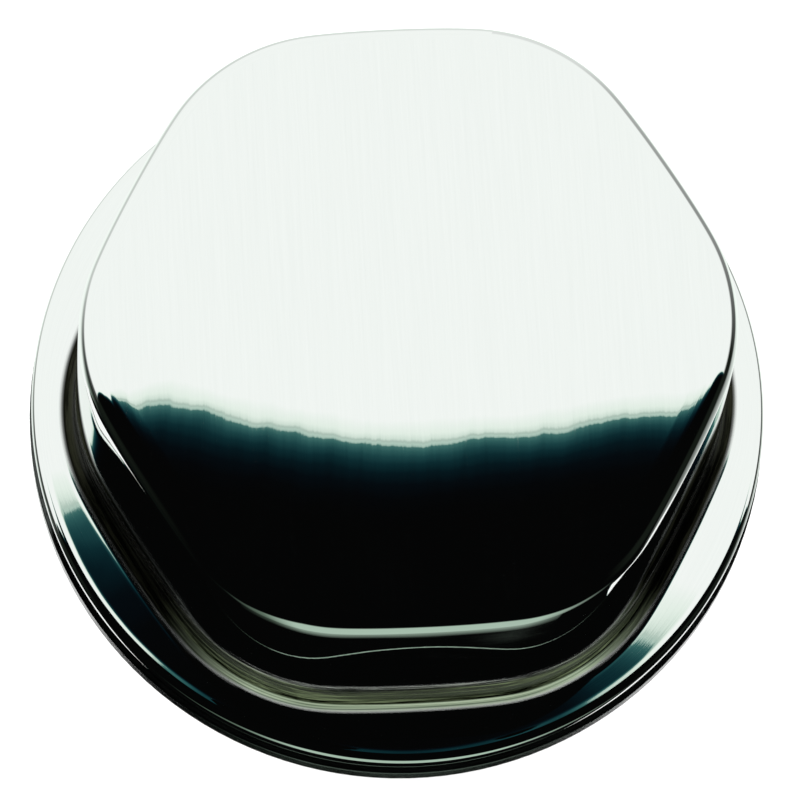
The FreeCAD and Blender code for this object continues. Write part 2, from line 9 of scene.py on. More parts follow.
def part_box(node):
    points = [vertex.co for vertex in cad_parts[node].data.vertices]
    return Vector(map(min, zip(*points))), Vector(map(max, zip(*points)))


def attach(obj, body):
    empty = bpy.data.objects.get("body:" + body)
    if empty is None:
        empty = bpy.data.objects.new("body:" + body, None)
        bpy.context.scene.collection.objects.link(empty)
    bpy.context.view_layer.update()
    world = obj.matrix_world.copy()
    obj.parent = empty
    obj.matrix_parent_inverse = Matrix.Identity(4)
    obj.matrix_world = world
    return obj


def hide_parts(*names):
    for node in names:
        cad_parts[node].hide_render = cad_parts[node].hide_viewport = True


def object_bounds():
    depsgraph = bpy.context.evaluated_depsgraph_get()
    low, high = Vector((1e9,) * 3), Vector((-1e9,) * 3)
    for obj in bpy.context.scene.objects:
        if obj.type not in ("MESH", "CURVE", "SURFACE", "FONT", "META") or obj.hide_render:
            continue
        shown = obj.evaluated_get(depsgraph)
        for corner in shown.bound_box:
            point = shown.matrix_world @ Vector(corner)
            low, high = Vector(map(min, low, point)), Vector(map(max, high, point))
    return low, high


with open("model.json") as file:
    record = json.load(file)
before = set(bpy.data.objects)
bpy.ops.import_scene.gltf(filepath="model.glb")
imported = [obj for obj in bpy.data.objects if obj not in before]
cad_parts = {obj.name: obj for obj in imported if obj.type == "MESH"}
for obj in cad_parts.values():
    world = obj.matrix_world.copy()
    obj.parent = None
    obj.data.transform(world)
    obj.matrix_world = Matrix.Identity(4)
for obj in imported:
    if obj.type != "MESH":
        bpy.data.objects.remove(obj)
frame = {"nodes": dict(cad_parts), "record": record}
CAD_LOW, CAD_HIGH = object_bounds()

# Looks for the deck fill cap.  Shapes are worked out in millimetres and scaled to metres at the mesh.
MM = 0.001
SHELL_LOW, SHELL_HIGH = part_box("cap_shell")

# ---- outer form of the cap shell (mm) ----
BRIM_R = SHELL_HIGH.x / MM
BRIM_UNDER_Z = SHELL_LOW.z / MM
CROWN_TOP_Z = SHELL_HIGH.z / MM
CROWN_SIDES = 6
CROWN_CORNER_R = 22.0        # plan radius of the corners
CROWN_FLAT_BULGE = 16.3      # what each flat adds to the plan: its length less that of a corner's arc
CROWN_FLAT_SPREAD = 2.4      # degrees of turn over which a flat runs into its corners
CROWN_DRAFT = 0.9            # how much wider the crown is at its foot
CROWN_DOME_R = 500.0
BRIM_TOP_Z = 9.5             # height from which the crown's draft is counted
# each arc of an edge is its radius and the tilt that it ends at; None runs on into the wall
TOP_EDGE_ARCS = ((2.4, 67.0), (6.0, None))
FOOT_R = 2.0
BRIM_LAND_Z = 9.4            # height of the brim's nearly level outer ring
# The brim's slopes are in degrees, falling outwards.
# They were fitted to what the brim mirrors in the photograph.
BRIM_LAND_R = (42.9, 43.3)   # the slope eases into the outer ring's between these radii
BRIM_LAND_SLOPE = 0.62       # of the outer ring
BRIM_SLOPE = 1.68            # between the outer ring and the foot of the crown
BRIM_UNEVEN = (0.15, 0.78)   # how much steeper each of those two is towards its own steep side
BRIM_STEEP_SIDES = (math.radians(199), math.radians(169))
BRIM_START_SLOPE = 0.9       # where the hollow fillet runs out
BRIM_START_REACH = 0.22      # how far from the fillet that slope carries (mm)
BRIM_EDGE_ARCS = ((0.55, 60.0), (2.5, 90.0))
BRIM_LOWER_EDGE_R = 0.4
SHELL_WALL = 2.2
SEAL_GROOVE_IN_R = 39.3
SEAL_GROOVE_OUT_R = 42.1
SEAL_GROOVE_TOP_Z = 7.1
INNER_EDGE_ARCS = ((1.5, None),)     # inside corner under the top face

# ---- posts under the crown (mm) ----
PILLARS = 3
PILLAR_R = 4.6
PILLAR_CIRCLE_R = 15.0
PILLAR_FIRST_ANGLE = 90.0
PILLAR_FOOT_Z = 10.6
PILLAR_TOP_Z = CROWN_TOP_Z - SHELL_WALL      # runs a little way up into the ceiling
PILLAR_HOLE_R = 2.55
PILLAR_HOLE_TOP_Z = 21.0
PILLAR_CHAMFER = 0.3
PILLAR_ROUND = 48
PILLAR_DRILL_CONE = 0.6      # depth of the hole's pointed end, as a share of its radius

# ---- mesh fineness ----
ROUND = 600                  # points round the shell
PLAN_STEPS = 7200            # steps of the sum that draws the crown's plan
TOP_RINGS = 24
EDGE_RINGS = 24
WALL_RINGS = 14
FOOT_RINGS = 14
BRIM_RINGS = 28
BRIM_CROWDING = 1.4          # power by which the brim's rings crowd towards its edge
BRIM_EDGE_STEPS = 7          # rings in each arc of the brim's edge
LOWER_EDGE_STEPS = 4
INNER_EDGE_RINGS = 6
INNER_WALL_RINGS = 8
CEILING_RINGS = 16
EDGE_FIT_ROUNDS = 4          # times the top edge is fitted between dome and wall
RIM_LIFT_POWER = 4           # power by which the dome's small misfit at its rim fades inwards
SHARP_ANGLE = math.radians(40)
PILLAR_SHARP_ANGLE = math.radians(30)
FOOT_START_RING = TOP_RINGS - 1 + EDGE_RINGS + 1 + WALL_RINGS

# ---- surface ----
RANDOM = np.random.default_rng(11)
# wavelength and height in mm, and how many
POLISH_WAVES = ((26.0, 0.0018, 5), (9.0, 0.0004, 6), (4.5, 0.00016, 8))
UNPOLISHED_RINGS = 6         # the last rings of the outside, at the brim's lower edge, get no waves
TOP_LINE_TURN = math.radians(3.0)    # the top's polishing lines run this far off +Y
HIGHLIGHT_SIDE = math.radians(-90)     # where the streaks at the crown's foot get a painted highlight, lighter than at the sides
HIGHLIGHT_FROM = 0.62          # that place begins at this cosine of the turn from its middle
HIGHLIGHT_FADE = 0.25          # and is whole when the cosine is this much more
TOP_FADE_RINGS = 3           # rings over which the top's lines give way to lines round the edge
STREAKED_FILLET = 0.9        # share of the hollow fillet that is streaked, in painted shade
HIGHLIGHT_LESS = 0.2           # how much less of it where the streaks get their painted highlight
STREAK_FADE_RINGS = 2
LINE_DEPTH = 0.00000018      # metres
LINE_LEAN = 0.0002           # each line on top leans this much along its own way (radians)


def crown_plan(count):
    """Outline of the crown at its top, and its outward normals.

    Corners of one radius run smoothly into nearly flat sides.
    """
    turn = (np.arange(PLAN_STEPS) + 0.5) * 2 * math.pi / PLAN_STEPS
    sector = 2 * math.pi / CROWN_SIDES
    from_flat = np.abs(turn % sector - sector / 2)
    spread = math.radians(CROWN_FLAT_SPREAD)
    peak = CROWN_FLAT_BULGE / (spread * math.sqrt(2 * math.pi))
    radius = CROWN_CORNER_R + peak * np.exp(-from_flat ** 2 / (2 * spread ** 2))
    step = 2 * math.pi / PLAN_STEPS
    tangent = np.stack([-np.sin(turn), np.cos(turn)], 1)
    points = np.cumsum(tangent * radius[:, None] * step, 0)
    points -= points.mean(0)
    length = np.cumsum(radius * step)
    share = (length / length[-1] + (turn + step / 2) / (2 * math.pi)) / 2
    wanted = (np.arange(count) + 0.5) / count
    turn_at = np.interp(wanted, share, turn)
    xy = np.stack([np.interp(wanted, share, points[:, k]) for k in (0, 1)], 1)
    return xy, np.stack([np.cos(turn_at), np.sin(turn_at)], 1)


PLAN, PLAN_NORMAL = crown_plan(ROUND)
PLAN_REACH = np.linalg.norm(PLAN, axis=1)
PLAN_ANGLE = PLAN / PLAN_REACH[:, None]


def ring_on_plan(offset, z):
    """Ring of points parallel to the crown's outline."""
    xy = PLAN + PLAN_NORMAL * np.broadcast_to(offset, ROUND)[:, None]
    return np.column_stack([xy, np.broadcast_to(z, ROUND)])


def ring_on_circle(radius, z):
    return np.column_stack([PLAN_ANGLE * radius, np.full(ROUND, z)])


def dome_z(xy, inset=0.0):
    return CROWN_TOP_Z - inset - (xy ** 2).sum(1) / (2 * (CROWN_DOME_R - inset))


def arc_steps(start_tilt, arcs, count):
    """Outward and downward distances along arcs that follow one another; tilts are in radians."""
    out = [np.zeros_like(start_tilt)]
    down = [np.zeros_like(start_tilt)]
    tilts = [start_tilt]
    for radius, end_tilt in arcs:
        first = tilts[-1]
        for k in range(1, count + 1):
            tilt = first + (end_tilt - first) * k / count
            out.append(out[-1] + radius * (np.sin(tilt) - np.sin(tilts[-1])))
            down.append(down[-1] + radius * (np.cos(tilts[-1]) - np.cos(tilt)))
            tilts.append(tilt)
    return out, down


def edge_rings(inset, arcs, count):
    """Rounding between dome and wall, ending on the wall's straight line."""
    slope = CROWN_DRAFT / (CROWN_TOP_Z - BRIM_TOP_Z)
    fall = (PLAN * PLAN_NORMAL).sum(1) / CROWN_DOME_R
    wall_tilt = math.pi / 2 - math.atan(slope)
    ends = [(radius, wall_tilt if end is None else math.radians(end)) for radius, end in arcs]
    out, down = arc_steps(np.arctan(fall), ends, count)
    dome = dome_z(PLAN - PLAN_NORMAL * inset, inset)
    low_z = dome - fall * (-out[-1]) - down[-1]
    for _ in range(EDGE_FIT_ROUNDS):
        end_out = slope * (CROWN_TOP_Z - low_z) - inset
        low_z = dome - fall * (end_out - out[-1] + inset) - down[-1]
    start_out = end_out - out[-1]
    start_z = low_z + down[-1]
    return [ring_on_plan(start_out + a, start_z - b) for a, b in zip(out, down)]


def dome_rings(inset, rim_shade, count):
    """Top face, from its middle to where the edge rounding starts."""
    lift = rim_shade[:, 2] - dome_z(rim_shade[:, :2], inset)
    rings = []
    for k in range(1, count):
        share = k / count
        xy = rim_shade[:, :2] * share
        rings.append(np.column_stack([xy, dome_z(xy, inset) + lift * share ** RIM_LIFT_POWER]))
    return rings


def wall_offset(z):
    return CROWN_DRAFT * (CROWN_TOP_Z - z) / (CROWN_TOP_Z - BRIM_TOP_Z)


def wall_rings(first, last, count):
    """Rings strictly between two rings."""
    return [first + (last - first) * k / (count + 1) for k in range(1, count + 1)]


BRIM_EDGE = [(radius, math.radians(end)) for radius, end in BRIM_EDGE_ARCS]
BRIM_EDGE_START_R = BRIM_R - sum(arc_steps(np.zeros(1), BRIM_EDGE, 1)[0][-1])


def foot_end_offset():
    """How far outside the crown's outline the hollow fillet ends."""
    return wall_offset(BRIM_LAND_Z + FOOT_R) + FOOT_R


def brim_tilt(from_foot, radius):
    """Outward tilt of the brim's upper side (degrees), from the distance to the foot and the radius."""
    steep = [PLAN_ANGLE @ np.array([math.cos(side), math.sin(side)]) for side in BRIM_STEEP_SIDES]
    land_slope = BRIM_LAND_SLOPE + BRIM_UNEVEN[0] * steep[0]
    slope = BRIM_SLOPE + BRIM_UNEVEN[1] * steep[1]
    tilt = slope + (BRIM_START_SLOPE - slope) * np.exp(-(from_foot / BRIM_START_REACH) ** 2)
    land = np.clip((radius - BRIM_LAND_R[0]) / (BRIM_LAND_R[1] - BRIM_LAND_R[0]), 0, 1)
    return tilt + (land_slope - slope) * land * land * (3 - 2 * land)


def brim_rings(count):
    """Upper side of the brim, from the end of the foot fillet to the start of its edge."""
    start = ring_on_plan(foot_end_offset(), 0.0)[:, :2]
    end = PLAN_ANGLE * BRIM_EDGE_START_R
    span = np.linalg.norm(end - start, axis=1)
    rings = []
    height = np.zeros(ROUND)
    before = None
    gone = 0.0
    for k in range(count + 1):
        share = 1 - (1 - k / count) ** BRIM_CROWDING
        xy = start + (end - start) * share
        tilt = np.tan(np.radians(brim_tilt(span * share, np.linalg.norm(xy, axis=1))))
        if before is not None:
            height = height - (tilt + before) / 2 * span * (share - gone)
        before = tilt
        gone = share
        rings.append(np.column_stack([xy, height]))
    for ring in rings:
        ring[:, 2] += BRIM_LAND_Z - height
    return rings


def foot_rings(foot_end, count):
    """Hollow fillet from the wall onto the brim."""
    wall_angle = math.atan(CROWN_DRAFT / (CROWN_TOP_Z - BRIM_TOP_Z))
    brim_angle = math.radians(90 - BRIM_START_SLOPE)
    end_z = foot_end[:, 2]
    out = foot_end_offset()
    centre_z = end_z + FOOT_R * math.sin(brim_angle)
    centre_out = out + FOOT_R * math.cos(brim_angle)
    wall_out = wall_offset(centre_z - FOOT_R * math.sin(wall_angle))
    settle = wall_out - (centre_out - FOOT_R * math.cos(wall_angle))
    rings = []
    for k in range(count + 1):
        share = k / count
        angle = wall_angle + (brim_angle - wall_angle) * share
        offset = centre_out - FOOT_R * math.cos(angle) + settle * (1 - share) ** 2
        rings.append(ring_on_plan(offset, centre_z - FOOT_R * math.sin(angle)))
    return rings


def arc_on_circle(centre_r, centre_z, radius, start, end, count):
    rings = []
    for k in range(count + 1):
        angle = math.radians(start + (end - start) * k / count)
        rings.append(ring_on_circle(centre_r + radius * math.cos(angle), centre_z + radius * math.sin(angle)))
    return rings


def shell_rings():
    """Every ring of the shell, from the middle of the top, over the brim, to the middle of the ceiling."""
    edge = edge_rings(0.0, TOP_EDGE_ARCS, EDGE_RINGS // 2)
    top = dome_rings(0.0, edge[0], TOP_RINGS)
    brim = brim_rings(BRIM_RINGS)
    foot = foot_rings(brim[0], FOOT_RINGS)
    wall = wall_rings(edge[-1], foot[0], WALL_RINGS)
    start = np.full(ROUND, math.radians(BRIM_LAND_SLOPE))
    out, down = arc_steps(start, BRIM_EDGE, BRIM_EDGE_STEPS)
    over = BRIM_R - BRIM_EDGE_START_R - out[-1][0]
    reach = [BRIM_EDGE_START_R + a[0] + over * k / (len(out) - 1) for k, a in enumerate(out)]
    brim_edge = [ring_on_circle(r, BRIM_LAND_Z - b[0]) for r, b in zip(reach, down)][1:]
    lower = arc_on_circle(BRIM_R - BRIM_LOWER_EDGE_R, BRIM_UNDER_Z + BRIM_LOWER_EDGE_R,
                          BRIM_LOWER_EDGE_R, 0, -90, LOWER_EDGE_STEPS)
    groove = [
        ring_on_circle(SEAL_GROOVE_OUT_R, BRIM_UNDER_Z),
        ring_on_circle(SEAL_GROOVE_OUT_R, SEAL_GROOVE_TOP_Z),
        ring_on_circle(SEAL_GROOVE_IN_R, SEAL_GROOVE_TOP_Z),
        ring_on_circle(SEAL_GROOVE_IN_R, BRIM_UNDER_Z)]
    mouth = ring_on_plan(wall_offset(BRIM_UNDER_Z) - SHELL_WALL, BRIM_UNDER_Z)
    inner_edge = edge_rings(SHELL_WALL, INNER_EDGE_ARCS, INNER_EDGE_RINGS)[::-1]
    inner_wall = wall_rings(mouth, inner_edge[0], INNER_WALL_RINGS)
    ceiling = dome_rings(SHELL_WALL, inner_edge[-1], CEILING_RINGS)[::-1]
    outside = top + edge + wall + foot + brim[1:] + brim_edge + lower
    return outside, groove + [mouth] + inner_wall + inner_edge + ceiling


def mesh_from_rings(name, rings, top_z, ceiling_z):
    """Closed mesh through rings of equal count, capped by a point at each end."""
    count = len(rings[0])
    points = np.vstack([[[0.0, 0.0, top_z]]] + rings + [[[0.0, 0.0, ceiling_z]]])
    last = len(points) - 1
    here = np.arange(count)
    after = (here + 1) % count
    faces = [(0, int(1 + a), int(1 + b)) for a, b in zip(here, after)]
    for k in range(len(rings) - 1):
        low = 1 + k * count
        high = low + count
        faces += [(int(low + a), int(high + a), int(high + b), int(low + b)) for a, b in zip(here, after)]
    low = 1 + (len(rings) - 1) * count
    faces += [(int(low + a), last, int(low + b)) for a, b in zip(here, after)]
    mesh = bpy.data.meshes.new(name)
    mesh.from_pydata((points * MM).tolist(), [], faces)
    mesh.update()
    return mesh


def hand_polish(points):
    """Tiny waves that hand polishing leaves: how far each point stands out, in mm."""
    waves = np.zeros(len(points))
    for length, height, count in POLISH_WAVES:
        for _ in range(count):
            way = RANDOM.normal(size=3)
            way /= np.linalg.norm(way)
            phase = RANDOM.uniform(0, 2 * math.pi)
            waves += height * np.sin(points @ way * 2 * math.pi / length + phase)
    return waves


def add_point_value(mesh, name, values):
    attribute = mesh.attributes.new(name, "FLOAT", "POINT")
    attribute.data.foreach_set("value", np.asarray(values, np.float32))


def add_arc_uv(mesh, rings):
    """UV in metres: u runs round the shell, v along its profile."""
    count = len(rings[0])
    stacked = np.stack(rings)
    across = np.linalg.norm(np.diff(stacked, axis=0), axis=2).mean(1)
    v = np.concatenate([[0], np.cumsum(across)]) + np.linalg.norm(rings[0][0, :2])
    u = np.arange(count) / count * 2 * math.pi * BRIM_R
    uv_of_point = np.zeros((len(mesh.vertices), 2))
    uv_of_point[1:-1, 0] = np.tile(u, len(rings))
    uv_of_point[1:-1, 1] = np.repeat(v, count)
    uv_of_point[-1, 1] = v[-1]
    corners = np.zeros(len(mesh.loops), np.int32)
    mesh.loops.foreach_get("vertex_index", corners)
    uv = uv_of_point[corners] * MM
    starts = np.zeros(len(mesh.polygons), np.int32)
    sizes = np.zeros(len(mesh.polygons), np.int32)
    mesh.polygons.foreach_get("loop_start", starts)
    mesh.polygons.foreach_get("loop_total", sizes)
    turn = 2 * math.pi * BRIM_R * MM
    for start, size in zip(starts, sizes):
        part = uv[start:start + size, 0]
        if part.max() - part.min() > turn / 2:
            part[part < turn / 2] += turn
    layer = mesh.uv_layers.new(name="arc")
    layer.data.foreach_set("uv", uv.astype(np.float32).ravel())


def make_cap_shell():
    outside, inside = shell_rings()
    rings = outside + inside
    mesh = mesh_from_rings("crown_and_brim", rings, CROWN_TOP_Z, CROWN_TOP_Z - SHELL_WALL)
    mesh.polygons.foreach_set("use_smooth", [True] * len(mesh.polygons))
    points = np.zeros(len(mesh.vertices) * 3)
    mesh.vertices.foreach_get("co", points)
    points = points.reshape(-1, 3) / MM
    normals = np.array([normal.vector[:] for normal in mesh.vertex_normals])
    zone = np.concatenate([[0]] + [np.full(ROUND, k) for k in range(len(rings))] + [[len(rings)]])
    outer = (zone < len(outside) - UNPOLISHED_RINGS).astype(float)
    waves = hand_polish(points) * outer
    points += normals * waves[:, None]
    mesh.vertices.foreach_set("co", (points * MM).ravel())
    mesh.update()
    top_end = TOP_RINGS - 1
    add_point_value(mesh, "top", np.clip((top_end + TOP_FADE_RINGS - zone) / TOP_FADE_RINGS, 0, 1))
    # where the streaks at the crown's foot get a painted highlight
    facing = points[:, :2] / np.maximum(np.linalg.norm(points[:, :2], axis=1), 1e-6)[:, None]
    facing = facing @ np.array([math.cos(HIGHLIGHT_SIDE), math.sin(HIGHLIGHT_SIDE)])
    painted_highlight = np.clip((facing - HIGHLIGHT_FROM) / HIGHLIGHT_FADE, 0, 1)
    # the streaked band at the crown's foot, coloured with painted shade
    foot_end = FOOT_START_RING + FOOT_RINGS * (STREAKED_FILLET - HIGHLIGHT_LESS * painted_highlight)
    below_edge = zone > TOP_RINGS + EDGE_RINGS
    streaked = np.clip((foot_end - zone) / STREAK_FADE_RINGS + 0.5, 0, 1)
    add_point_value(mesh, "foot", below_edge * streaked)
    add_point_value(mesh, "inside", zone >= len(outside))
    add_point_value(mesh, "painted_highlight", painted_highlight)
    add_arc_uv(mesh, rings)
    mesh.set_sharp_from_angle(angle=SHARP_ANGLE)
    shell = bpy.data.objects.new("crown_and_brim", mesh)
    bpy.context.scene.collection.objects.link(shell)
    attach(shell, "cap")
    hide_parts("cap_shell")
    return shell


def make_pillar(number):
    """One of the posts under the crown: a turned bar with a hole that a plug screw runs up into."""
    rise = PILLAR_CHAMFER
    profile = [
        (PILLAR_R, PILLAR_TOP_Z),
        (PILLAR_R, PILLAR_FOOT_Z + rise),
        (PILLAR_R - rise, PILLAR_FOOT_Z),
        (PILLAR_HOLE_R + rise, PILLAR_FOOT_Z),
        (PILLAR_HOLE_R, PILLAR_FOOT_Z + rise),
        (PILLAR_HOLE_R, PILLAR_HOLE_TOP_Z)]
    turn = np.arange(PILLAR_ROUND) * 2 * math.pi / PILLAR_ROUND
    way = np.stack([np.cos(turn), np.sin(turn)], 1)
    rings = [np.column_stack([way * radius, np.full(PILLAR_ROUND, z)]) for radius, z in profile]
    hole_end_z = PILLAR_HOLE_TOP_Z + PILLAR_HOLE_R * PILLAR_DRILL_CONE
    mesh = mesh_from_rings(f"pillar_{number}", rings, PILLAR_TOP_Z, hole_end_z)
    angle = math.radians(PILLAR_FIRST_ANGLE + number * 360 / PILLARS)
    place = Vector((math.cos(angle), math.sin(angle), 0)) * PILLAR_CIRCLE_R * MM
    mesh.transform(Matrix.Translation(place))
    mesh.polygons.foreach_set("use_smooth", [True] * len(mesh.polygons))
    mesh.set_sharp_from_angle(angle=PILLAR_SHARP_ANGLE)
    pillar = bpy.data.objects.new(f"pillar_{number}", mesh)
    bpy.context.scene.collection.objects.link(pillar)
    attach(pillar, "cap")
    return pillar


# ---- materials ----

class Nodes:
    """Short way to build a node tree: each call adds a node and returns its first output."""

    def __init__(self, tree):
        self.tree = tree

    def add(self, kind, out=0, settings=None, **inputs):
        node = self.tree.nodes.new("ShaderNode" + kind)
        for name, value in (settings or {}).items():
            setattr(node, name, value)
        for name, value in inputs.items():
            key = int(name[1:]) if name[0] == "_" else name.replace("_", " ")
            if isinstance(value, bpy.types.NodeSocket):
                self.tree.links.new(value, node.inputs[key])
            else:
                node.inputs[key].default_value = value
        return node.outputs[out]

    def math(self, operation, a, b=0.0, clamp=False):
        return self.add("Math", settings={"operation": operation, "use_clamp": clamp}, _0=a, _1=b)

    def vector(self, operation, a, b):
        out = 1 if operation == "DOT_PRODUCT" else 0
        return self.add("VectorMath", out, {"operation": operation}, _0=a, _1=b)

    def mix_value(self, share, a, b):
        return self.add("Mix", settings={"data_type": "FLOAT"}, _0=share, _2=a, _3=b)

    def mix_colour(self, share, a, b, blend="MIX"):
        return self.add("Mix", 2, {"data_type": "RGBA", "blend_type": blend}, _0=share, _6=a, _7=b)

    def spread(self, value, low, high, to_low=0.0, to_high=1.0):
        """Value mapped from one range to another, held at the ends."""
        return self.add("MapRange", Value=value, From_Min=low, From_Max=high, To_Min=to_low, To_Max=to_high)

    def noise(self, place, scale, detail=2.0, rough=0.5):
        return self.add("TexNoise", Vector=place, Scale=scale, Detail=detail, Roughness=rough)

    def stretched(self, place, scale, turn=0.0):
        return self.add("Mapping", Vector=place, Scale=scale, Rotation=(0.0, 0.0, turn))

    def attribute(self, name):
        return self.add("Attribute", 2, {"attribute_name": name})


def new_material(name):
    material = bpy.data.materials.new(name)
    material.use_nodes = True
    tree = material.node_tree
    tree.nodes.clear()
    shader = tree.nodes.new("ShaderNodeBsdfPrincipled")
    output = tree.nodes.new("ShaderNodeOutputMaterial")
    tree.links.new(shader.outputs[0], output.inputs[0])
    return material, Nodes(tree), shader


def link(nodes, value, shader, name):
    nodes.tree.links.new(value, shader.inputs[name])


# heights in metres between which a look fades out going up
STREAK_TOP_Z = (0.0152, 0.0174)
FILLET_TOP_Z = (0.01022, 0.0104)
STREAK_RAGGED = 0.0003       # how far the streaks' upper end strays (metres)
SOFT_EDGE = 0.0003           # radius of an edge as the light sees it (metres)
HIGHLIGHT_METAL = 0.2          # Metallic of the streaks with the painted highlight, which show plain light instead of mirroring

STEEL = (0.885, 0.925, 0.895, 1)
STEEL_DULL = (0.55, 0.62, 0.58, 1)
# painted shade: dark and lighter streaks low on the crown's walls
STREAK_SHADE_DARK = (0.006, 0.0065, 0.004, 1)
STREAK_SHADE_LIGHT = (0.032, 0.034, 0.021, 1)
# painted highlight on the streaks at the front of the crown's foot
HIGHLIGHT_STREAK_DARK = (0.008, 0.009, 0.002, 1)
HIGHLIGHT_STREAK_LIGHT = (0.16, 0.21, 0.105, 1)
# painted highlight: the bright line in the hollow fillet at the front
FILLET_LIGHT = (0.34, 0.42, 0.29, 1)
FILLET_DARK = (0.07, 0.11, 0.06, 1)


def polished_steel():
    """Mirror-polished casting: fine straight lines on top, lines round the rest.

    The dark streaks low on the crown's walls are polishing lines whose colour is painted shade, with a
    painted highlight on them at the front that is brightest in the hollow fillet.
    """
    material, nodes, shader = new_material("polished_steel")
    place = nodes.add("TexCoord", 3)
    arc = nodes.add("UVMap", settings={"uv_map": "arc"})
    top = nodes.attribute("top")
    inside = nodes.attribute("inside")
    height = nodes.add("SeparateXYZ", 2, Vector=place)
    ragged = nodes.noise(nodes.stretched(arc, (70, 1, 1)), 1.0, 2.0, 0.5)
    streak_top = nodes.math("ADD", height, nodes.spread(ragged, 0.3, 0.7, -STREAK_RAGGED, STREAK_RAGGED))
    # where the streaks and their painted shade lie
    foot = nodes.math("MULTIPLY", nodes.attribute("foot"), nodes.spread(streak_top, *STREAK_TOP_Z, 1.0, 0.0))
    top_lines = nodes.noise(nodes.stretched(place, (2600, 60, 60), TOP_LINE_TURN), 1.0, 4.0, 0.75)
    round_lines = nodes.noise(nodes.stretched(arc, (50, 5200, 1)), 1.0, 4.0, 0.7)
    lines = nodes.mix_value(top, round_lines, top_lines)
    patches = nodes.noise(place, 90.0, 3.0, 0.5)
    rough = nodes.spread(lines, 0.53, 0.8, 0.003, 0.038)
    rough = nodes.math("MULTIPLY", rough, nodes.spread(patches, 0.3, 0.7, 0.7, 1.3))
    foot_lines = nodes.noise(nodes.stretched(arc, (38, 900, 1)), 1.0, 6.0, 0.75)
    # where the foot's streaks get their painted highlight
    painted_highlight = nodes.attribute("painted_highlight")
    fillet = nodes.math("MULTIPLY", painted_highlight, nodes.spread(height, *FILLET_TOP_Z, 1.0, 0.0))
    share = nodes.spread(foot_lines, 0.46, 0.6)
    foot_rough = nodes.mix_value(share, 0.2, nodes.spread(painted_highlight, 0.0, 1.0, 0.42, 0.8))
    foot_rough = nodes.mix_value(fillet, foot_rough, 0.7)
    rough = nodes.mix_value(foot, rough, foot_rough)
    rough = nodes.mix_value(inside, rough, 0.42)
    link(nodes, rough, shader, "Roughness")
    colour = nodes.mix_colour(nodes.spread(lines, 0.3, 0.8, 0.0, 0.1), STEEL, STEEL_DULL)
    # painted shade on the foot's streaks
    streaks = nodes.mix_colour(share, STREAK_SHADE_DARK, STREAK_SHADE_LIGHT)
    # painted highlight on the streaks at the front
    bright = nodes.mix_colour(share, HIGHLIGHT_STREAK_DARK, HIGHLIGHT_STREAK_LIGHT)
    # painted highlight: a bright line in the hollow fillet at the front
    fillet_lines = nodes.noise(nodes.stretched(arc, (20, 3600, 1)), 1.0, 3.0, 0.6)
    fillet_highlight = nodes.mix_colour(nodes.spread(fillet_lines, 0.42, 0.58), FILLET_DARK, FILLET_LIGHT)
    bright = nodes.mix_colour(fillet, bright, fillet_highlight)
    streaks = nodes.mix_colour(painted_highlight, streaks, bright)
    colour = nodes.mix_colour(foot, colour, streaks)
    link(nodes, colour, shader, "Base Color")
    hair = nodes.noise(nodes.stretched(place, (3300, 40, 40), TOP_LINE_TURN), 1.0, 3.0, 0.6)
    lean = nodes.math("MULTIPLY", top, nodes.spread(hair, 0.3, 0.7, -LINE_LEAN, LINE_LEAN))
    leaning = nodes.vector("ADD", nodes.add("NewGeometry", 1), nodes.add("CombineXYZ", Y=lean))
    bump = nodes.add("Bump", Strength=1.0, Distance=LINE_DEPTH, Height=lines, Normal=leaning)
    link(nodes, bump, shader, "Normal")
    # the streaks with the painted highlight lose most of their mirror and show plain light
    highlit_foot = nodes.math("MULTIPLY", foot, painted_highlight)
    highlit_marks = nodes.math("MULTIPLY", highlit_foot, nodes.math("MAXIMUM", share, fillet))
    link(nodes, nodes.spread(highlit_marks, 0.0, 1.0, 1.0, HIGHLIGHT_METAL), shader, "Metallic")
    return material


def satin_steel(name, tint, low, high, axis_scale, rim_shade=None):
    """Turned or brushed metal: fine lines along the tool's way, edges softened in the light.

    low and high bound its roughness; the last argument, if given, is a colour of painted shade for the outer
    edge above the deck.
    """
    material, nodes, shader = new_material(name)
    place = nodes.add("TexCoord", 3)
    lines = nodes.noise(nodes.stretched(place, axis_scale), 1.0, 3.0, 0.6)
    patches = nodes.noise(place, 70.0, 4.0, 0.55)
    line_rough = nodes.spread(lines, 0.3, 0.7, low, high)
    rough = nodes.math("ADD", line_rough, nodes.spread(patches, 0.3, 0.7, -0.04, 0.06))
    link(nodes, rough, shader, "Roughness")
    shade = nodes.mix_colour(nodes.spread(patches, 0.3, 0.75), tint, tuple(0.8 * c for c in tint[:3]) + (1,))
    # painted shade on the outer edge above the deck
    if rim_shade:
        above_deck = nodes.spread(nodes.add("SeparateXYZ", 2, Vector=place), -0.0003, 0.0003)
        flat = nodes.vector("MULTIPLY", place, (1.0, 1.0, 0.0))
        reach = nodes.add("VectorMath", 1, {"operation": "LENGTH"}, _0=flat)
        outer = nodes.spread(reach, RIM_START_R - RIM_FADE, RIM_START_R)
        shade = nodes.mix_colour(nodes.math("MULTIPLY", above_deck, outer), shade, rim_shade)
    link(nodes, shade, shader, "Base Color")
    soft = nodes.add("Bevel", settings={"samples": 4}, Radius=SOFT_EDGE)
    bump = nodes.add("Bump", Strength=0.6, Distance=0.00001, Height=lines, Normal=soft)
    link(nodes, bump, shader, "Normal")
    shader.inputs["Metallic"].default_value = 1.0
    return material


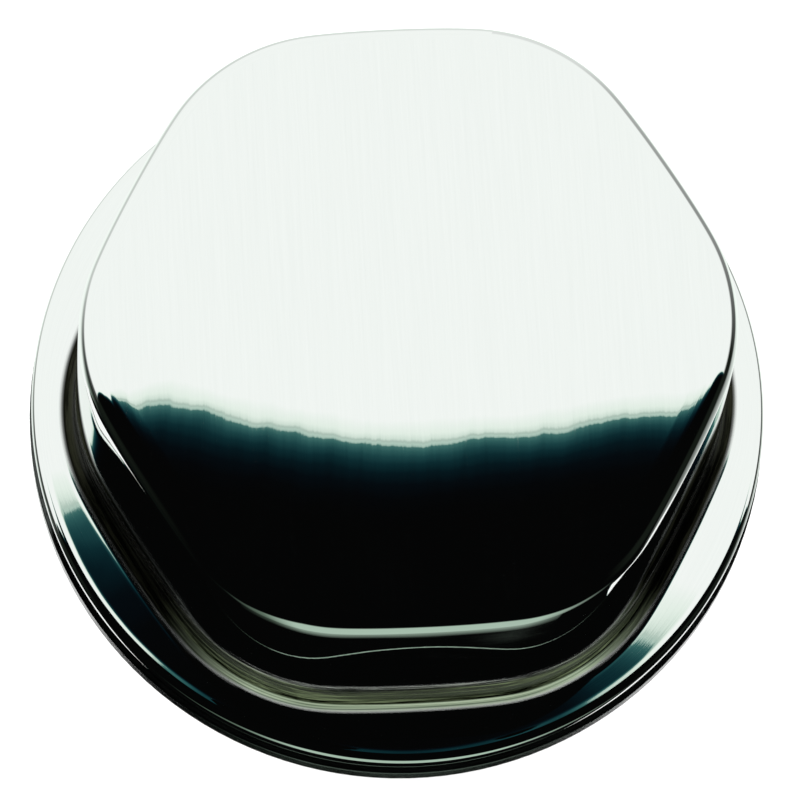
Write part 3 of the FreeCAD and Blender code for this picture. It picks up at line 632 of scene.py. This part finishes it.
def moulded(name, colour, light, low, high, grain):
    """Rubber or plastic: a fine matt grain with faint mottling."""
    material, nodes, shader = new_material(name)
    place = nodes.add("TexCoord", 3)
    fine = nodes.noise(place, grain, 3.0, 0.6)
    broad = nodes.noise(place, 120.0, 3.0, 0.5)
    link(nodes, nodes.mix_colour(nodes.spread(broad, 0.35, 0.7), colour, light), shader, "Base Color")
    link(nodes, nodes.spread(fine, 0.3, 0.7, low, high), shader, "Roughness")
    soft = nodes.add("Bevel", settings={"samples": 4}, Radius=SOFT_EDGE)
    bump = nodes.add("Bump", Strength=0.5, Distance=0.00003, Height=fine, Normal=soft)
    link(nodes, bump, shader, "Normal")
    return material


RIM_SHADE = (0.06, 0.07, 0.065, 1)     # painted shade on the flange's outer edge above the deck, just under the brim
RIM_START_R = 0.0440                  # metres
RIM_FADE = 0.0005
NYLON_DARK = (0.012, 0.012, 0.013, 1)
NYLON_LIGHT = (0.022, 0.022, 0.023, 1)
RUBBER_DARK = (0.010, 0.010, 0.010, 1)
RUBBER_LIGHT = (0.018, 0.018, 0.017, 1)


def dress_nodes():
    turned = (900, 900, 9000)
    finishes = {
        "flange_steel": satin_steel("flange_steel", (0.72, 0.74, 0.73, 1), 0.12, 0.2, turned, RIM_SHADE),
        "tail_steel": satin_steel("tail_steel", (0.66, 0.67, 0.66, 1), 0.22, 0.38, turned),
        "nut_steel": satin_steel("nut_steel", (0.62, 0.63, 0.62, 1), 0.24, 0.42, (3000, 3000, 500)),
        "screw_steel": satin_steel("screw_steel", (0.74, 0.75, 0.74, 1), 0.16, 0.28, (2500, 2500, 2500)),
        "swivel_steel": satin_steel("swivel_steel", (0.7, 0.72, 0.71, 1), 0.14, 0.26, (600, 600, 5000)),
        "plug_nylon": moulded("plug_nylon", NYLON_DARK, NYLON_LIGHT, 0.38, 0.6, 6000.0),
        "seal_rubber": moulded("seal_rubber", RUBBER_DARK, RUBBER_LIGHT, 0.55, 0.8, 9000.0),
        "bush_brass": satin_steel("bush_brass", (0.78, 0.57, 0.25, 1), 0.2, 0.34, turned),
    }
    for piece in frame["record"]["subparts"]:
        slot = piece["material_slot"]
        if slot in finishes:
            mesh = frame["nodes"][piece["node"]].data
            mesh.materials.clear()
            mesh.materials.append(finishes[slot])


# ---- camera ----
CAMERA_AZIMUTH = -11.0
CAMERA_ELEVATION = 73.74
CAMERA_ROLL = 7.97
CAMERA_DISTANCE = 0.75
CAMERA_LENS = 278.3
CAMERA_SENSOR = 36.0
CAMERA_AIM = Vector((0.0, 0.0, 0.0074))
CAMERA_SLIDE = (0.00023, 0.00080)     # along the picture's right and up


def make_camera():
    azimuth = math.radians(CAMERA_AZIMUTH)
    elevation = math.radians(CAMERA_ELEVATION)
    back = Vector((math.sin(azimuth) * math.cos(elevation),
                   -math.cos(azimuth) * math.cos(elevation),
                   math.sin(elevation)))
    turn = (-back).to_track_quat("-Z", "Y") @ Quaternion((0, 0, 1), math.radians(CAMERA_ROLL))
    right = turn @ Vector((1, 0, 0))
    up = turn @ Vector((0, 1, 0))
    data = bpy.data.cameras.new("camera")
    data.lens = CAMERA_LENS
    data.sensor_width = CAMERA_SENSOR
    camera = bpy.data.objects.new("camera", data)
    camera.rotation_mode = "QUATERNION"
    camera.rotation_quaternion = turn
    camera.location = CAMERA_AIM + back * CAMERA_DISTANCE + right * CAMERA_SLIDE[0] + up * CAMERA_SLIDE[1]
    bpy.context.scene.collection.objects.link(camera)
    bpy.context.scene.camera = camera


# ---- studio ----
# Only glossy rays see this studio; everything else gets the same light from all round.
# Its numbers were fitted to what the steel mirrors in the photograph.
# A direction is given in flat coordinates in degrees from straight up,
# u to the picture's right and v away from the camera.

def picture_axes():
    azimuth = math.radians(CAMERA_AZIMUTH)
    right = (math.cos(azimuth), math.sin(azimuth), 0.0)
    away = (-math.sin(azimuth), math.cos(azimuth), 0.0)
    return right, away


# edge of the white sweep overhead: (u, v) in degrees
SWEEP_EDGE = [
    (-165, 14), (-150, 10), (-120, -31), (-60, -14.7), (-40, -6.8), (-30, 0.4), (-20, 6.2), (-14, 9.7),
    (-11, 11.6), (-8, 12.7), (-5, 12.25), (0, 12.2), (3, 12.85), (6, 13.7), (8, 14.6), (10, 15), (14, 14.5),
    (20, 13), (28, 11), (45, 8.4), (120, 12)]
SWEEP_SPAN = 60              # more degrees than v ever reaches, either way
# A glow fades from the edge into the dark; each colour channel has its own reach.
GLOW = (0.058, 0.172, 0.160)
GLOW_REACH = (0.19, 0.30, 0.36)      # degrees
GLOW_STOPS = 10
GLOW_END = -3.0                      # degrees
DARK = (0.0016, 0.0017, 0.0017)
# colours on the white side: (degrees into the white, colour)
WHITE_TONES = [
    (0.04, (0.38, 0.53, 0.47)),
    (0.10, (0.50, 0.64, 0.57)),
    (0.17, (0.45, 0.56, 0.50)),
    (0.25, (0.70, 0.80, 0.73)),
    (0.42, (0.86, 0.93, 0.87)),
    (0.9, (1.0, 1.0, 1.0)),
]
EDGE_KINKS = (0.55, 0.14)     # how many to a degree, and how far they stray in degrees

# near the horizon the sweep is shaded at both sides: (degrees round from the front, share)
SHADE_ROUND = [
    (-180, 0.2), (-115, 0.4), (-98, 0.85), (-70, 1), (-60, 0), (60, 0), (75, 1), (105, 1), (142, 0.7),
    (160, 0.25), (180, 0.2)]
# and how that shade comes and goes: (degrees from straight up, share)
SHADE_RIGHT = [(86, 0), (97, 1), (124, 1), (136, 0)]
SHADE_LEFT = [(104, 0), (115, 1), (130, 1), (142, 0)]
SHADE_COLOUR = (0.009, 0.012, 0.009, 1)
# The table, seen below the dark front, begins and ends so many degrees from straight up,
# at so many degrees round from the front.
TABLE_START = [
    (-180, 117), (-95, 117), (-80, 125), (-60, 150), (-38, 150), (-8, 132), (10, 130.5), (22, 132),
    (52, 146), (82, 150), (97, 124), (112, 118), (180, 117)]
TABLE_END = [
    (-180, 170), (-128, 164), (-83, 142), (-60, 150), (-50, 162.3), (60, 162.3), (80, 152), (97, 147),
    (112, 156), (180, 170)]
TABLE_START_FADE = (-1.5, 2.5)
TABLE_END_FADE = (-0.7, 0.7)
TABLE_DARK = (0.004, 0.006, 0.005)
TABLE_PALE = (0.43, 0.55, 0.46)
TABLE_WHITE = (0.95, 1.0, 0.96)
# its colour at so many degrees round from the front
TABLE_TONES = [
    (-180, TABLE_WHITE), (-100, TABLE_WHITE), (-88, (0.2, 0.25, 0.21)), (-78, TABLE_DARK), (-50, TABLE_DARK),
    (-28, (0.12, 0.17, 0.13)), (-12, TABLE_PALE), (38, TABLE_PALE), (75, TABLE_DARK), (88, TABLE_DARK),
    (125, TABLE_WHITE), (180, TABLE_WHITE)]
FLOOR_LIGHT = 1.5            # even light for all that doesn't mirror


def ramp(nodes, value, stops):
    """Colour ramp over plain numbers: stops are (number, colour)."""
    low = stops[0][0]
    high = stops[-1][0]
    share = nodes.spread(value, low, high)
    out = nodes.add("ValToRGB", Fac=share)
    elements = out.node.color_ramp.elements
    while len(elements) < len(stops):
        elements.new(0.5)
    for element, (at, colour) in zip(elements, stops):
        element.position = (at - low) / (high - low)
        element.color = tuple(colour) + (1.0,)
    return out


def grey(stops):
    return [(at, (level, level, level)) for at, level in stops]


def edge_tones():
    """Colours across the sweep's edge: (degrees into the white, colour)."""
    glow = []
    for k in range(GLOW_STOPS):
        # the stops crowd towards the edge
        at = GLOW_END * (1 - k / (GLOW_STOPS - 1)) ** 2
        fades = [math.exp(at / reach) for reach in GLOW_REACH]
        glow.append((at, tuple(dark + peak * fade for dark, peak, fade in zip(DARK, GLOW, fades))))
    return glow + WHITE_TONES


def degrees_ramp(nodes, value, stops):
    """Curve through (number, degrees from 0 to 180)."""
    share = ramp(nodes, value, grey([(at, degrees / 180) for at, degrees in stops]))
    return nodes.math("MULTIPLY", share, 180.0)


def make_world():
    world = bpy.data.worlds.new("studio")
    bpy.context.scene.world = world
    world.use_nodes = True
    tree = world.node_tree
    tree.nodes.clear()
    nodes = Nodes(tree)
    right, away = picture_axes()
    ray = nodes.add("TexCoord", 0)
    x = nodes.vector("DOT_PRODUCT", ray, right)
    y = nodes.vector("DOT_PRODUCT", ray, away)
    z = nodes.vector("DOT_PRODUCT", ray, (0.0, 0.0, 1.0))
    from_up = nodes.math("MULTIPLY", nodes.math("ARCCOSINE", z), 180 / math.pi)
    flat = nodes.math("SQRT", nodes.math("ADD", nodes.math("MULTIPLY", x, x), nodes.math("MULTIPLY", y, y)))
    flat = nodes.math("MAXIMUM", flat, 1e-6)
    u = nodes.math("DIVIDE", nodes.math("MULTIPLY", x, from_up), flat)
    v = nodes.math("DIVIDE", nodes.math("MULTIPLY", y, from_up), flat)
    edge = ramp(nodes, u, grey([(at, (v_at + SWEEP_SPAN) / (2 * SWEEP_SPAN)) for at, v_at in SWEEP_EDGE]))
    edge_v = nodes.math("SUBTRACT", nodes.math("MULTIPLY", edge, 2 * SWEEP_SPAN), SWEEP_SPAN)
    kinks = nodes.noise(nodes.add("CombineXYZ", X=u), EDGE_KINKS[0], 4.0, 0.65)
    edge_v = nodes.math("ADD", edge_v, nodes.spread(kinks, 0.3, 0.7, -EDGE_KINKS[1], EDGE_KINKS[1]))
    into_white = nodes.math("SUBTRACT", v, edge_v)
    colour = ramp(nodes, into_white, edge_tones())
    # how far round from the front: 0 in front, 180 behind, minus to the left
    turn = nodes.math("ARCTAN2", x, nodes.math("MULTIPLY", y, -1.0))
    round_front = nodes.math("MULTIPLY", turn, 180 / math.pi)
    shade_share = ramp(nodes, round_front, grey(SHADE_ROUND))
    shade_right = ramp(nodes, from_up, grey(SHADE_RIGHT))
    shade_left = ramp(nodes, from_up, grey(SHADE_LEFT))
    is_right = nodes.math("GREATER_THAN", round_front, 0.0)
    shade = nodes.math("MULTIPLY", shade_share, nodes.mix_value(is_right, shade_left, shade_right))
    start = degrees_ramp(nodes, round_front, TABLE_START)
    end = degrees_ramp(nodes, round_front, TABLE_END)
    table = nodes.spread(nodes.math("SUBTRACT", from_up, start), *TABLE_START_FADE)
    past = nodes.spread(nodes.math("SUBTRACT", from_up, end), *TABLE_END_FADE, 1.0, 0.0)
    table = nodes.math("MULTIPLY", table, past)
    colour = nodes.mix_colour(table, colour, ramp(nodes, round_front, TABLE_TONES))
    colour = nodes.mix_colour(shade, colour, SHADE_COLOUR)
    is_glossy = nodes.add("LightPath", 3)
    plain = (FLOOR_LIGHT, FLOOR_LIGHT, FLOOR_LIGHT, 1)
    shown = nodes.mix_colour(is_glossy, plain, colour)
    background = nodes.add("Background", Color=shown, Strength=1.0)
    output = tree.nodes.new("ShaderNodeOutputWorld")
    tree.links.new(background, output.inputs[0])


FLOOR_HALF = 3.0             # metres
# name, place, size and power of each lamp
LAMPS = (("key", (-0.5, 0.7, 1.3), 1.2, 7.0), ("fill", (0.8, -0.9, 0.9), 1.2, 5.0))


def make_floor():
    """Plain pale floor under the hose tail, which the mirror doesn't show."""
    mesh = bpy.data.meshes.new("floor")
    corners = [(-FLOOR_HALF, -FLOOR_HALF), (FLOOR_HALF, -FLOOR_HALF),
               (FLOOR_HALF, FLOOR_HALF), (-FLOOR_HALF, FLOOR_HALF)]
    mesh.from_pydata([(x, y, CAD_LOW.z) for x, y in corners], [], [(0, 1, 2, 3)])
    floor = bpy.data.objects.new("floor", mesh)
    bpy.context.scene.collection.objects.link(floor)
    floor.visible_glossy = False
    material, nodes, shader = new_material("floor_paper")
    place = nodes.add("TexCoord", 3)
    fibre = nodes.noise(place, 400.0, 3.0, 0.6)
    link(nodes, nodes.mix_colour(fibre, (0.93, 0.93, 0.93, 1), (0.95, 0.95, 0.95, 1)), shader, "Base Color")
    shader.inputs["Roughness"].default_value = 0.9
    shader.inputs["Specular IOR Level"].default_value = 0.1
    mesh.materials.append(material)


def make_lights():
    """Two large soft lights that the mirror doesn't show."""
    for name, place, size, power in LAMPS:
        data = bpy.data.lights.new(name, "AREA")
        data.size = size
        data.energy = power
        lamp = bpy.data.objects.new(name, data)
        lamp.location = place
        lamp.rotation_mode = "QUATERNION"
        lamp.rotation_quaternion = (-Vector(place)).to_track_quat("-Z", "Y")
        lamp.visible_glossy = False
        bpy.context.scene.collection.objects.link(lamp)


shell = make_cap_shell()
shell.data.materials.append(polished_steel())
post_steel = satin_steel("post_steel", (0.66, 0.69, 0.67, 1), 0.3, 0.46, (900, 900, 7000))
for number in range(PILLARS):
    make_pillar(number).data.materials.append(post_steel)
dress_nodes()
make_camera()
make_world()
make_floor()
make_lights()
bpy.context.scene.view_settings.view_transform = "Standard"
